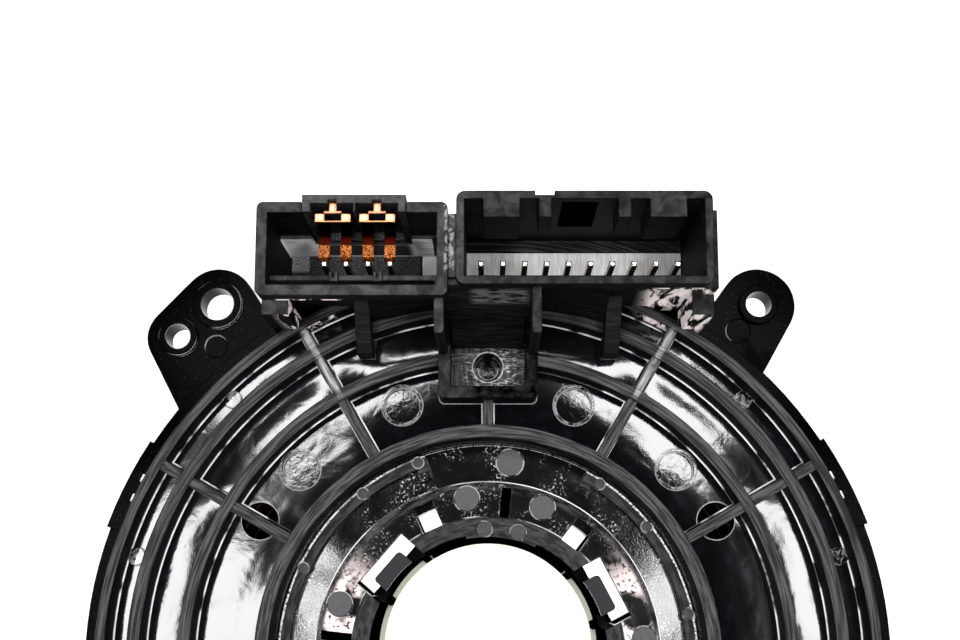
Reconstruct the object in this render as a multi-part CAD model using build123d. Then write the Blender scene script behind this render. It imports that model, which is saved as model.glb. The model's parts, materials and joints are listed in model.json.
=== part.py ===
from build123d import *
from math import cos, radians, sin, sqrt
import os

# A steering clock spring: a rotor that turns with the steering wheel inside a
# stator that is fixed to the column, joined by a coiled flat cable.
# Sizes are millimetres, angles degrees counter-clockwise from +X.
# Z is the axis of rotation. The part lies on its steering wheel side, z = 0,
# and its column side, with the ribs and the two sockets, faces up.
# +Y points from the axis to the sockets.

# ---------------------------------------------------------------- heights
boss_height = 12.0  # front boss, bore collar and front socket
disc_thickness = 2.0  # rotor disc
cable_room = 11.8  # between the rotor disc and the back plate
floor_thickness = 1.8  # back plate
rib_height = 3.4  # concentric and radial ribs above the plate
hub_ring_rise = 0.6  # the inner ring stands above the ribs
socket_floor_rise = 1.6  # socket floors above the plate
socket_depth = 16.8  # socket floors to the mouths
case_front_gap = 1.5  # the case wall starts below the rotor disc by this
flange_height = 5.3  # flange at the top of the case wall
ear_thickness = 3.0
ear_lip_rise = 0.7

# ------------------------------------------------------- radii, from inside
collar_bore = 13.9  # narrowest bore, lined by the cream collar
collar_wall = 1.4
collar_fit = 0.1
boss_wall = 7.0
bore_radius = 14.6  # inside of the rotor tube
tube_wall = 1.4
ledge_width = 2.1  # inner ledge of the sleeve
sleeve_ring_width = 4.4  # raised ring of the sleeve
drum_step = 0.8  # the drum is larger than the raised ring by this
drum_wall = 1.5
running_clearance = 0.1  # drum in the stator's lip
lip_width = 4.1
rotor_gap = 0.4  # between turning and fixed walls
hub_ring_wall = 1.6
inner_floor_width = 7.8
rib_b_width = 1.4
middle_floor_width = 4.6
rib_a_width = 1.5
outer_floor_width = 2.6
rim_wall = 1.2
flange_margin = 2.7  # case flange beyond the plate's rim
flange_step = 1.5  # case flange beyond the case wall
seat_width = 1.1  # seat of the plate on the case

# --------------------------------------------------------------- back plate
spoke_pitch = 30.0
spoke_width = 1.3
dimple_radius = 2.55
dimple_depth = 0.6
dimple_angles = [19.3, 45.9, 134.1, 160.7]  # each side of the +Y axis
dimple_from_hub = 4.7  # dimple centres outside the hub ring
vent_radius = 2.3
vent_from_hub = 4.7
vent_angles = [60, -60, 180]  # from +Y
stud_radius = 1.1
stud_height = 0.25
stud_shift = 0.35  # studs out from the middle of the outer floor
stud_angles = [45.5, 74.6, 105.4, 134.5]

# ------------------------------------------------------------------ sockets
pin_pitch = 2.5
pin_size = 0.64
pin_slot_fit = 0.02
pin_tip = 0.14  # chamfer of the pins' tips
pin_row_inset = 4.8  # pin rows inside the flange's radius
pin_height = 13.4  # pins above the socket floors
socket_split = -4.03  # middle of the gap between the two sockets
socket_gap = 0.95
bridge_drop = 0.6  # the bridge across that gap lies below the mouths
switch_pin_count = 10
switch_room_left = 1.87  # mouth wall to the first pin, inside
switch_room_right = 2.6
switch_wall = 0.9
switch_corner = 1.0
switch_front_room = 2.3  # pin row to the wall nearer the axis
switch_back_room = 6.6  # pin row to the wall away from the axis
airbag_pin_count = 4
airbag_room_left = 6.0
airbag_room_right = 5.5
airbag_wall = 1.2
airbag_corner = 0.75  # outer corners of the shroud
airbag_front_room = 3.3
airbag_back_room = 5.0
airbag_back_step = 0.45  # the back wall is thicker near the floor
airbag_step_height = 8.0
ledge_hook_width = 1.0
ledge_hook_slot = 0.3
deep_front_room = 1.6  # both sockets narrow to this below the mouth
deep_wall = 0.6
mouth_band = 2.5  # height of the thick band at the mouths
big_key_width = 4.1
big_key_drop = 2.15
big_key_length = 8.6
thin_key_width = 1.4
thin_key_length = 6.5
latch_window_width = 4.1
latch_window_length = 9.5
latch_window_offset = 9.2  # from the first pin
window_skin = 0.2
window_drop = 1.3
window_cover = 0.6  # a cover closes the latch window from outside
cover_drop = 2.2
side_band_width = 1.2  # the switch socket's outer side is thicker below this
side_band_drop = 4.0
corner_foot_width = 2.6
corner_foot_height = 8.0  # above the ribs

# ------------------------------------------------------- lock box and braces
lock_box_half = 6.05
lock_box_wall = 1.5
lock_box_corner = 0.7
lock_box_inset = 4.7  # front wall inside rib B
lock_box_back = 1.0  # back wall outside rib B
lock_box_rise = 1.2  # above the ribs
lock_floor_rise = 2.0
lock_hole_radius = 1.8
lock_hole_depth = 2.3
lock_hole_core = 1.15
panel_slit_x = 4.5  # thin slits each side of the panel behind the box
panel_slit_width = 0.35
panel_slit_depth = 1.4
cheek_width = 1.1
cheek_reach = 4.0
brace_centre = 15.15
brace_width = 1.9
brace_rise = 5.0  # braces' upper ends above the ribs

# --------------------------------------------------------------------- ears
ear_hole_out = 7.0  # ear holes outside the flange's radius
ear_hole_angle = 38.3  # each side of the +Y axis
ear_radius = 4.8
left_hole_radius = 2.12
right_hole_radius = 1.68
bottom_hole_radius = 1.68
bottom_ear_radius = 4.4
locating_hole_radius = 1.59
locating_angle = 44.9
locating_ear_radius = 4.1
ear_foot_radius = 0.8
ear_marks = [[-35.1, 38.9, 1.46], [32.4, 40.96, 1.59]]  # ejector marks: x, y, radius

# ------------------------------------------------------------ case latches
latch_angles = [65.0, -64.5]
latch_half_span = 6.8
latch_gap_half = 0.6
latch_gap_out = 1.0
bulge_reach = 0.3
bulge_rise = 0.6
latch_slits = [-1.6, 1.6]  # degrees each side of a latch's middle
latch_slit_reach = 1.1
latch_strap = 1.2  # thickness of the bulge outside its slits

# -------------------------------------------------------------------- rotor
rotor_rest_angle = -6.65  # rotor turned from the stator's axis at rest
sleeve_flange_thickness = 1.5
sleeve_rise = 1.3  # raised ring above the sleeve's flange
ledge_drop = 0.5  # ledge below the raised ring
ledge_thickness = 1.2
ring_thickness = 1.5
skirt_wall = 1.3  # wall that locates the sleeve in the drum
skirt_fit = 0.1
skirt_length = 2.0
lip_thickness = 1.4
axial_gap = 0.3
rail_width = 1.4
rail_height = 0.9
rail_inset = 0.1
rail_spans = [[10.5, 65.0], [-65.0, -10.5], [115.0, 245.0]]
rail_ends = [-23.8, 26.2, -156.2, 153.8]  # from +Y
rail_hook = 1.6
rail_mark_angles = [-72.6, -45.6, -26.8, 26.9, 45.0, 71.4, 108.6, 135.0, -107.4, -134.4]
rail_mark_radius = 0.85
tongue_angles = [55.8, -55.8, 124.2, -124.2]
tongue_half = 2.35
tongue_reach = 0.5
tongue_rise = 0.4
tongue_hook_height = 1.8
tongue_root_rise = 3.2  # foot of the tongues' slots above the rotor disc
guide_width = 0.9
window_half = 4.05
window_out = 3.1  # window's outer edge beyond the bore
window_flare = 0.006  # windows widen by this share for each millimetre towards the front
disc_window_lean = 1.5  # their outer edges lie further out in the disc
boss_window_lean = 2.9
peep_angles = [30.8, -30.8, 149.2, -149.2]
peep_half = 1.3
peep_length = 3.3
slot_half = 0.58
slot_depth = 0.9
mark_depth = 0.15
mark_radius = 1.55
small_mark_radius = 1.0
ring_mark_angles = [-77.8, -14.0, 14.5, 78.1, 120.0, -120.0, 165.0, -165.0]
ledge_mark_angles = [-7.5, 8.5]
flange_mark_radius = 1.7
tab_half_angle = 17.5
tab_reach = 0.35
tab_thickness = 1.0
pad_half_angle = 38.0  # inner pad of the tube, over the collar
pad_height = 3.0
pad_fit = 0.05

# ---------------------------------------------------------------- soft parts
cable_thickness = 0.25
cable_pitch = 1.6
cable_side_room = 0.8  # from the cable's edges to the rotor disc and to the lip
cable_end_room = 1.5  # from the coil to the drum and to the case
sheet_thickness = 0.2

# -------------------------------------------------------------- front socket
front_pin_count = 10
front_side_room = 3.0
front_socket_width = 9.6  # across the row of pins
front_wall = 1.2
front_clear = 0.8  # front socket stops short of the rest plane
front_pin_height = 6.0
front_inset = 4.0  # socket's outer wall inside the rotor disc's edge
inlet_half = 6.4  # hood over the airbag lead inlet
inlet_width = 7.6
inlet_height = 6.0

# ------------------------------------------------------------ shorting clips
clip_metal = 0.25
finger_width = 1.3
clip_head_drop = 0.7
clip_head_half = 2.0
clip_head_front = 0.9  # the head stands out of its carrier by this
clip_hole_half = 0.95
clip_stem_half = 0.4
clip_stem = 0.95
clip_fit = 0.1
clip_strap_depth = 0.35  # back of the clip inside its carrier
clip_pocket_depth = 1.0
clip_pocket_side = 0.4  # pocket beyond the clip's head, each side
finger_drop = 3.5  # fingers below the socket's mouth
finger_nose = 0.6  # the fingers' ends turn down by this

# ============================================================ worked out
disc_low = boss_height
disc_high = disc_low + disc_thickness
plate_low = disc_high + cable_room
floor_top = plate_low + floor_thickness
rib_top = floor_top + rib_height
hub_ring_top = rib_top + hub_ring_rise
socket_floor = floor_top + socket_floor_rise
mouth = socket_floor + socket_depth
case_front = disc_low - case_front_gap
flange_low = plate_low - flange_height

tube_outer = bore_radius + tube_wall
ledge_outer = bore_radius + ledge_width
raised_outer = ledge_outer + sleeve_ring_width
drum_outer = raised_outer + drum_step
drum_inner = drum_outer - drum_wall
lip_inner = drum_outer + running_clearance
hub_ring_inner = lip_inner + lip_width
hub_ring_outer = hub_ring_inner + hub_ring_wall
rib_b_inner = hub_ring_outer + inner_floor_width
rib_b_outer = rib_b_inner + rib_b_width
rib_a_inner = rib_b_outer + middle_floor_width
rib_a_outer = rib_a_inner + rib_a_width
rim_inner = rib_a_outer + outer_floor_width
plate_radius = rim_inner + rim_wall
flange_radius = plate_radius + flange_margin
case_outer = flange_radius - flange_step
case_bore = plate_radius - seat_width
disc_radius = case_bore - rotor_gap
collar_outer = collar_bore + collar_wall
boss_inner = collar_outer + collar_fit
boss_outer = boss_inner + boss_wall

sleeve_low = plate_low - 1.0
lip_high = sleeve_low - axial_gap
lip_low = lip_high - lip_thickness
sleeve_flange_top = sleeve_low + sleeve_flange_thickness
raised_top = sleeve_flange_top + sleeve_rise
ledge_top = raised_top - ledge_drop
sleeve_flange_outer = hub_ring_inner - rotor_gap

pin_row = flange_radius - pin_row_inset
switch_first_pin = socket_split + socket_gap / 2 + switch_wall + switch_room_left
switch_last_pin = switch_first_pin + (switch_pin_count - 1) * pin_pitch
switch_inside = [switch_first_pin - switch_room_left, switch_last_pin + switch_room_right]
switch_outside = [switch_inside[0] - switch_wall, switch_inside[1] + switch_wall]
latch_window_x = switch_first_pin + latch_window_offset
switch_inside_y = [pin_row - switch_front_room, pin_row + switch_back_room]
switch_outside_y = [switch_inside_y[0] - switch_wall, switch_inside_y[1] + switch_wall]
airbag_last_pin = socket_split - socket_gap / 2 - airbag_wall - airbag_room_right
airbag_first_pin = airbag_last_pin - (airbag_pin_count - 1) * pin_pitch
airbag_inside = [airbag_first_pin - airbag_room_left, airbag_last_pin + airbag_room_right]
airbag_outside = [airbag_inside[0] - airbag_wall, airbag_inside[1] + airbag_wall]
airbag_inside_y = [pin_row - airbag_front_room, pin_row + airbag_back_room]
airbag_outside_y = [airbag_inside_y[0] - airbag_wall, airbag_inside_y[1] + airbag_wall]
band_low = mouth - mouth_band
cheek_outer = lock_box_half
cheek_inner = cheek_outer - cheek_width
block_fit = 0.1  # lead blocks and inserts in their pockets
lead_left = airbag_inside[1] - 2.5
lead_right = switch_inside[1] - block_fit
lead_front = pin_row - 1.0
lead_back = pin_row + 5.0
insert_left = airbag_inside[0] + block_fit
insert_right = lead_left - block_fit
carrier_left = airbag_first_pin - 2.1
carrier_right = airbag_last_pin + 2.0
carrier_low = socket_floor + 4.8
carrier_top = airbag_outside_y[1] + 0.75
carrier_front = airbag_inside_y[1]
clip_low = carrier_low + 0.8
cheek_front = airbag_outside_y[0] - cheek_reach
box_front = rib_b_inner - lock_box_inset
box_back = rib_b_outer + lock_box_back
box_top = rib_top + lock_box_rise
box_floor = floor_top + lock_floor_rise
box_hole_y = (box_front + box_back) / 2 + 0.7
ear_hole_circle = flange_radius + ear_hole_out
ear_low = flange_low
ear_high = ear_low + ear_thickness
ledge_low = ledge_top - ledge_thickness
tongue_root = disc_high + tongue_root_rise
window_outer = bore_radius + window_out
peep_outer = ledge_outer - 0.1 + peep_length
peep_middle = (ledge_outer + peep_outer) / 2
front_half = (front_pin_count - 1) * pin_pitch / 2 + front_side_room
front_inside = [-front_half, front_half]
front_outside = [-front_half - front_wall, front_half + front_wall]
front_outside_low = front_inset - disc_radius
front_inside_y = [front_outside_low + front_wall, front_outside_low + front_wall + front_socket_width]
front_outside_y = [front_outside_low, front_inside_y[1] + front_wall]
front_row = sum(front_inside_y) / 2
front_lead = [-front_half + 1, front_half - 1]
front_lead_y = [front_row - 1.6, front_row + 1.6]
inlet_y = [disc_radius - front_inset - inlet_width, disc_radius - front_inset]
inlet_low = disc_low - inlet_height


# ============================================================ shape helpers
def ring(outer, inner, low, high):
    return Pos(0, 0, low) * extrude(Circle(outer) - Circle(inner), high - low)


def block(x_low, x_high, y_low, y_high, low, high):
    size = (x_high - x_low, y_high - y_low, high - low)
    return Pos(x_low, y_low, low) * Box(*size, align=Align.MIN)


def post(x, y, radius, low, high):
    middle = (Align.CENTER, Align.CENTER, Align.MIN)
    return Pos(x, y, low) * Cylinder(radius, high - low, align=middle)


def from_top(radius, angle):
    """A point at an angle counter-clockwise from +Y."""
    return (-radius * sin(radians(angle)), radius * cos(radians(angle)))


def spoke(angle, inner, outer, width, low, high):
    """A straight bar along a radius; the angle is counter-clockwise from +Y."""
    return Rot(0, 0, angle) * block(-width / 2, width / 2, inner, outer, low, high)


def arc_block(outer, inner, start, end, low, high):
    """A stretch of ring from one angle to another, counter-clockwise from +X."""
    outside = CenterArc((0, 0), outer, start, end - start)
    inside = CenterArc((0, 0), inner, start, end - start)
    sides = [Line(outside @ 0, inside @ 0), Line(outside @ 1, inside @ 1)]
    return Pos(0, 0, low) * extrude(make_face([outside, inside] + sides), high - low)


def outline_block(circles, low, high):
    """The plate that wraps round a set of circles, each (x, y, radius)."""
    edges = []
    for x, y, radius in circles:
        edges += (Pos(x, y) * Circle(radius)).edges()
    return Pos(0, 0, low) * extrude(make_hull(edges), high - low)


def side_profile(points, x_low, x_high):
    """A closed outline of (y, z) points, carried from one x to another."""
    outline = Polyline(*[(y, z) for y, z in points], close=True)
    # the plane's own x runs along +Y and its y along +Z, so its normal is +X
    plane = Plane(origin=(x_low, 0, 0), x_dir=(0, 1, 0), z_dir=(1, 0, 0))
    return extrude(plane * make_face(outline), x_high - x_low)


def skirt(x_low, x_high, foot_radius, back, lip_y, foot_z, lip_z):
    """A flared wall: straight at its lip, and on the circle of a rib at its foot."""
    middle = (x_low + x_high) / 2
    on_rib = [(x, sqrt(foot_radius**2 - x**2)) for x in (x_low, middle, x_high)]
    foot_arc = ThreePointArc(*on_rib)
    foot_back = Polyline(on_rib[2], (x_high, back), (x_low, back), on_rib[0])
    foot = make_face([foot_arc, foot_back])
    lip_line = Polyline((x_low, lip_y), (x_high, lip_y), (x_high, back), (x_low, back), close=True)
    lip = make_face(lip_line)
    return loft([Pos(0, 0, foot_z) * foot, Pos(0, 0, lip_z) * lip], ruled=True)


# ================================================================== stator
def make_outer_case():
    case = ring(case_outer, case_bore, case_front, flange_low)
    case += ring(flange_radius, case_bore, flange_low, plate_low)

    left_hole = from_top(ear_hole_circle, ear_hole_angle)
    right_hole = from_top(ear_hole_circle, -ear_hole_angle)
    bottom_hole = from_top(ear_hole_circle - 2.4, 180)
    locating = from_top(ear_hole_circle + 0.1, locating_angle)
    foot_circle = flange_radius - ear_foot_radius

    def foot(angle):
        return (*from_top(foot_circle, angle), ear_foot_radius)

    left_shape = [(*left_hole, ear_radius), (*locating, locating_ear_radius), foot(52.0), foot(34.5)]
    right_shape = [(*right_hole, ear_radius), foot(-44.5), foot(-34.0)]
    bottom_shape = [(*bottom_hole, bottom_ear_radius), foot(172.0), foot(188.0)]
    ears = outline_block(left_shape, ear_low, ear_high)
    ears += outline_block(right_shape, ear_low, ear_high)
    ears += outline_block(bottom_shape, ear_low, ear_high)
    lip_high_z = ear_high + ear_lip_rise
    ears += post(*left_hole, left_hole_radius + 1.0, ear_high, lip_high_z)
    ears += post(*right_hole, right_hole_radius + 0.85, ear_high, lip_high_z)
    ears += post(*bottom_hole, bottom_hole_radius + 0.85, ear_high, lip_high_z)
    ears += post(*locating, locating_hole_radius + 0.9, ear_high, lip_high_z)
    ears -= post(0, 0, case_bore + 0.5, ear_low, ear_high)
    case += ears
    case -= post(*left_hole, left_hole_radius, ear_low, lip_high_z)
    case -= post(*right_hole, right_hole_radius, ear_low, lip_high_z)
    case -= post(*bottom_hole, bottom_hole_radius, ear_low, lip_high_z)
    case -= post(*locating, locating_hole_radius, ear_low, lip_high_z)

    for x, y, radius in ear_marks:
        case -= post(x, y, radius, ear_high - mark_depth, ear_high + 0.1)

    bulge_top = plate_low + bulge_rise
    for angle in latch_angles:
        start = 90 + angle - latch_half_span
        end = 90 + angle + latch_half_span
        bulge_outer = flange_radius + bulge_reach
        case += arc_block(bulge_outer, plate_radius + latch_gap_out, start, end, flange_low, bulge_top)
        slit_inner = plate_radius + latch_gap_out
        for side in latch_slits:
            slit = (90 + angle + side - latch_gap_half, 90 + angle + side + latch_gap_half)
            slit_outer = slit_inner + latch_slit_reach
            relief_top = plate_low - latch_strap
            case -= arc_block(slit_outer, slit_inner, *slit, flange_low, bulge_top + 0.1)
            case -= arc_block(bulge_outer + 0.1, slit_inner, *slit, flange_low - 0.1, relief_top)
    return case


def make_back_plate():
    plate = ring(plate_radius, lip_inner + lip_width - 0.3, plate_low, floor_top)
    plate += ring(hub_ring_outer, hub_ring_inner, lip_low, hub_ring_top)
    plate += ring(hub_ring_inner + 0.2, lip_inner, lip_low, lip_high)
    plate += ring(plate_radius, rim_inner, floor_top, rib_top)
    plate += ring(rib_a_outer, rib_a_inner, floor_top, rib_top)
    plate += ring(rib_b_outer, rib_b_inner, floor_top, rib_top)

    for count in range(round(360 / spoke_pitch)):
        angle = count * spoke_pitch
        reach = rim_inner + 0.5
        if count == 0:
            reach = rib_b_inner
        plate += spoke(angle, hub_ring_outer - 0.5, reach, spoke_width, floor_top, rib_top - 0.15)

    for angle in dimple_angles:
        for side in (-1, 1):
            x, y = from_top(hub_ring_outer + dimple_from_hub, side * angle)
            plate += post(x, y, dimple_radius, floor_top, floor_top + 0.25)
            plate -= post(x, y, dimple_radius - 0.3, floor_top - dimple_depth, floor_top + 0.25)
    plate -= make_vents(plate_low, floor_top)
    for angle in stud_angles:
        for side in (-1, 1):
            x, y = from_top((rib_a_outer + rim_inner) / 2 + stud_shift, side * angle)
            plate += post(x, y, stud_radius, floor_top, floor_top + stud_height)

    plate += make_socket_walls()
    plate -= make_socket_rooms()
    return plate


def make_vents(low, high):
    """Round holes either side of three of the spokes."""
    vents = Part()
    for angle in vent_angles:
        x, y = from_top(hub_ring_outer + vent_from_hub, angle)
        hole = post(x, y, vent_radius, low, high)
        vents += hole - spoke(angle, hub_ring_outer, rib_b_inner, spoke_width, low, high)
    return vents


def make_socket_walls():
    """The two shrouds, their tray, skirts, braces and the lock box, all moulded on."""
    left, right = airbag_outside[0], switch_outside[1]
    deep_front = pin_row - deep_front_room - deep_wall

    walls = block(left, right, deep_front, airbag_outside_y[1] - airbag_corner, plate_low, socket_floor)
    for across, along, corner in (
        (airbag_outside, airbag_outside_y, airbag_corner),
        (switch_outside, switch_outside_y, switch_corner),
    ):
        shroud = block(*across, deep_front, along[1], plate_low, mouth)
        walls += fillet(shroud.edges().filter_by(Axis.Z).group_by(Axis.Y)[-1], corner)
        band = block(*across, *along, band_low, mouth)
        walls += fillet(band.edges().filter_by(Axis.Z), corner)
    walls += block(
        airbag_outside[1] - 0.5, switch_outside[0] + 0.5, switch_inside_y[0], airbag_inside_y[1],
        plate_low, mouth - bridge_drop,
    )

    brace_out = brace_centre + brace_width / 2
    brace_in = brace_centre - brace_width / 2
    skirt_back = pin_row - deep_front_room + 0.4
    foot_z = floor_top - 0.3
    outer_foot = rim_inner + 0.3
    inner_foot = rib_a_inner + 0.8
    walls += skirt(left, -brace_out, outer_foot, skirt_back, deep_front, foot_z, band_low)
    walls += skirt(-brace_in, -cheek_inner, inner_foot, skirt_back, deep_front, foot_z, band_low)
    walls += skirt(cheek_inner, brace_in, inner_foot, skirt_back, deep_front, foot_z, band_low)
    walls += skirt(brace_out, right, outer_foot, skirt_back, deep_front, foot_z, band_low)

    walls += block(
        right - 0.1, right + side_band_width,
        switch_outside_y[0] + 0.5, switch_outside_y[1] - switch_corner,
        plate_low, mouth - side_band_drop,
    )
    foot_top = rib_top + corner_foot_height
    foot_front = sqrt(plate_radius**2 - left**2) + 0.6
    walls += block(left - 0.5, left + corner_foot_width, foot_front, skirt_back, plate_low, foot_top)
    walls += block(
        right + side_band_width - corner_foot_width, right + side_band_width, foot_front, skirt_back,
        plate_low, foot_top,
    )

    for x in (-brace_centre, brace_centre):
        brace = [
            (skirt_back, foot_z), (rib_b_outer - 0.4, foot_z), (rib_b_outer - 0.4, rib_top),
            (deep_front, rib_top + brace_rise), (skirt_back, rib_top + brace_rise),
        ]
        walls += side_profile(brace, x - brace_width / 2, x + brace_width / 2)

    panel = [
        (skirt_back, foot_z), (box_back - 0.5, foot_z),
        (box_back - 0.5, box_top), (box_back + 0.6, box_top + 3.5),
        (box_back + 2.0, box_top + 8.5), (switch_outside_y[0] + 0.2, mouth - 1.4),
        (skirt_back, mouth - 1.4),
    ]
    walls += side_profile(panel, -cheek_inner, cheek_inner)
    for side in (-1, 1):
        x_values = sorted([side * cheek_inner, side * cheek_outer])
        cheek = block(*x_values, cheek_front, skirt_back, foot_z, mouth - 1.2)
        walls += fillet(cheek.edges().filter_by(Axis.Z).group_by(Axis.Y)[0], cheek_width * 0.35)

    box = block(-lock_box_half, lock_box_half, box_front, box_back, foot_z, box_top)
    walls += fillet(box.edges().filter_by(Axis.Z).group_by(Axis.Y)[0], lock_box_corner)

    cover_low = mouth - window_drop - latch_window_length - window_cover
    walls += block(
        latch_window_x - window_cover, latch_window_x + latch_window_width + window_cover,
        switch_outside_y[1] - 0.1, switch_outside_y[1] + window_cover, cover_low, mouth - cover_drop,
    )
    return walls


def make_socket_rooms():
    """What is cut from the shrouds: the sockets, their latch and lead pockets."""
    deep_front = pin_row - deep_front_room
    rooms = block(*airbag_inside, airbag_inside_y[0], airbag_inside_y[1], band_low, mouth + 1)
    rooms += block(*airbag_inside, deep_front, airbag_inside_y[1], socket_floor, mouth)
    step_front = airbag_inside_y[1] - airbag_back_step
    rooms -= block(
        *airbag_inside, step_front, airbag_inside_y[1], socket_floor, socket_floor + airbag_step_height
    )
    for x in clip_centres:
        hook = block(
            x - ledge_hook_width / 2, x + ledge_hook_width / 2, deep_front - 0.8, deep_front + 0.3,
            band_low - 1, band_low + 0.5,
        )
        slot = ledge_hook_slot / 2
        rooms -= hook - block(x - slot, x + slot, deep_front - 0.4, deep_front + 1, band_low - 2, mouth)
    rooms += block(*switch_inside, *switch_inside_y, band_low, mouth + 1)
    rooms += block(*switch_inside, deep_front, switch_inside_y[1], socket_floor, mouth)

    key_low = mouth - big_key_length
    key_front = switch_inside_y[1] - big_key_drop
    big_keys = [switch_first_pin + 0.25, switch_last_pin - 3.5]
    for x in big_keys:
        rooms -= block(x, x + big_key_width, key_front, switch_inside_y[1], key_low, mouth + 1)
    thin_keys = [switch_first_pin + 6.5, switch_last_pin - 7.05]
    for x in thin_keys:
        low = mouth - thin_key_length
        rooms -= block(x, x + thin_key_width, key_front, switch_inside_y[1], low, mouth + 1)

    window_top = mouth - window_drop
    rooms += block(
        latch_window_x, latch_window_x + latch_window_width, switch_inside_y[1] - 0.1,
        switch_outside_y[1] - window_skin, window_top - latch_window_length, window_top,
    )
    inside_half = lock_box_half - lock_box_wall
    rooms += block(
        -inside_half, inside_half, box_front + lock_box_wall, box_back - 0.5, box_floor, box_top + 1
    )
    rooms += block(
        thin_keys[0] - 0.4, thin_keys[0] + 1.8, switch_outside_y[1] - 0.5, switch_outside_y[1] + 1,
        mouth - 3, mouth + 1,
    )
    rooms += block(
        carrier_left - block_fit, carrier_right + block_fit, step_front - 0.1, airbag_outside_y[1] + 1,
        carrier_low, mouth + 1,
    )
    rooms += block(
        lead_left - block_fit, lead_right + block_fit, lead_front - block_fit, lead_back + block_fit,
        plate_low - 1, socket_floor + 0.1,
    )
    rooms += block(
        insert_left - block_fit, insert_right, lead_front - block_fit, lead_back - block_fit,
        plate_low - 1, socket_floor + 0.1,
    )
    rooms += post(0, box_hole_y, lock_hole_radius, box_floor - lock_hole_depth, box_floor + 1)
    rooms += post(0, box_hole_y, lock_hole_core, plate_low + 0.5, box_floor)
    slit_half = panel_slit_width / 2
    slit_y = (box_back - 0.6, box_back + panel_slit_depth)
    for x in (-panel_slit_x, panel_slit_x):
        rooms += block(x - slit_half, x + slit_half, *slit_y, box_top - 0.6, box_top + 8)
    return rooms


def make_lead_block():
    lead = block(lead_left, lead_right, lead_front, lead_back, plate_low, socket_floor)
    for x in switch_pins:
        lead -= pin_room(x)
    return lead


def make_airbag_insert():
    insert = block(
        insert_left, insert_right - block_fit, lead_front, lead_back - 2 * block_fit,
        plate_low, socket_floor,
    )
    for x in airbag_pins:
        insert -= pin_room(x)
    return insert


def pin_room(x):
    half = pin_size / 2 + pin_slot_fit
    return block(x - half, x + half, pin_row - half, pin_row + half, plate_low - 1, socket_floor + 1)


def make_pin(x):
    half = pin_size / 2
    top = socket_floor + pin_height
    pin = block(x - half, x + half, pin_row - half, pin_row + half, plate_low, top)
    tip = pin.faces().sort_by(Axis.Z)[-1]
    return chamfer(tip.edges(), pin_tip)


def make_clip_carrier():
    carrier = block(
        carrier_left, carrier_right, carrier_front, carrier_top, carrier_low + block_fit, mouth + 0.2
    )
    for x in clip_centres:
        half = clip_head_half + clip_pocket_side
        stem_half = clip_stem_half + clip_fit
        stem_back = carrier_front + clip_strap_depth + clip_stem + clip_fit
        pocket_back = carrier_front + clip_pocket_depth
        carrier -= block(x - half, x + half, carrier_front - 0.1, pocket_back, clip_low, mouth + 1)
        carrier -= block(
            x - stem_half, x + stem_half, carrier_front, stem_back, mouth - clip_head_drop - 1, mouth + 1
        )
    return carrier


def make_shorting_clip(pin_pair):
    """A T-shaped head and two sprung fingers that reach the pins."""
    middle = sum(pin_pair) / 2
    head_z = mouth - clip_head_drop
    head_low = head_z - clip_metal
    strap_y = carrier_front + clip_strap_depth
    head_front = carrier_front - clip_head_front
    hole = (middle - clip_hole_half, middle + clip_hole_half)
    clip = block(middle - clip_head_half, middle + clip_head_half, head_front, strap_y, head_low, head_z)
    clip -= block(*hole, head_front + clip_metal / 2, carrier_front + 0.1, head_low, head_z)
    clip += block(
        middle - clip_stem_half, middle + clip_stem_half, strap_y, strap_y + clip_stem, head_low, head_z
    )
    finger_z = mouth - finger_drop
    nose_y = pin_row + pin_size / 2 + clip_metal / 2 + 0.03
    for x in pin_pair:
        path = Polyline(
            (strap_y - clip_metal / 2, head_z - clip_metal / 2),
            (strap_y - clip_metal / 2, finger_z - finger_nose),
            (nose_y + 1.6, finger_z),
            (nose_y + 0.35, finger_z),
            (nose_y, finger_z - finger_nose),
        )
        plane = Plane(origin=(x - finger_width / 2, 0, 0), x_dir=(0, 1, 0), z_dir=(1, 0, 0))
        clip += extrude(plane * trace(path, clip_metal), finger_width)
    return clip


def make_flat_cable():
    """A flat ribbon wound between the drum and the case, drawn as half turns."""
    first = drum_outer + cable_end_room
    last = case_bore - cable_end_room
    turns = int((last - first) / cable_pitch)
    shift = cable_pitch / 2
    outside = []
    inside = []
    for half_turn in range(2 * turns):
        radius = first + half_turn * shift
        centre = (shift * (half_turn % 2), 0)
        start = 180 * (half_turn % 2)
        outside.append(CenterArc(centre, radius + cable_thickness / 2, start, 180))
        inside.append(CenterArc(centre, radius - cable_thickness / 2, start, 180))
    ends = [Line(outside[0] @ 0, inside[0] @ 0), Line(outside[-1] @ 1, inside[-1] @ 1)]
    ribbon = make_face(outside + inside + ends)
    low = disc_high + cable_side_room
    return Pos(0, 0, low) * extrude(ribbon, lip_low - cable_side_room - low)


def make_stator_sheet():
    low = plate_low - sheet_thickness
    sheet = ring(case_bore - rotor_gap, hub_ring_outer + 0.3, low, plate_low)
    return sheet - make_vents(low, plate_low)


# =================================================================== rotor
def make_rotor_sheet():
    return ring(disc_radius - 1, drum_outer + 0.4, disc_high, disc_high + sheet_thickness)


def make_collar():
    collar = ring(collar_outer, collar_bore, 0, disc_low)
    outer_edge = collar.edges().filter_by(GeomType.CIRCLE).sort_by(SortBy.RADIUS)[-2:]
    return chamfer(outer_edge, 0.4)


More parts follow.
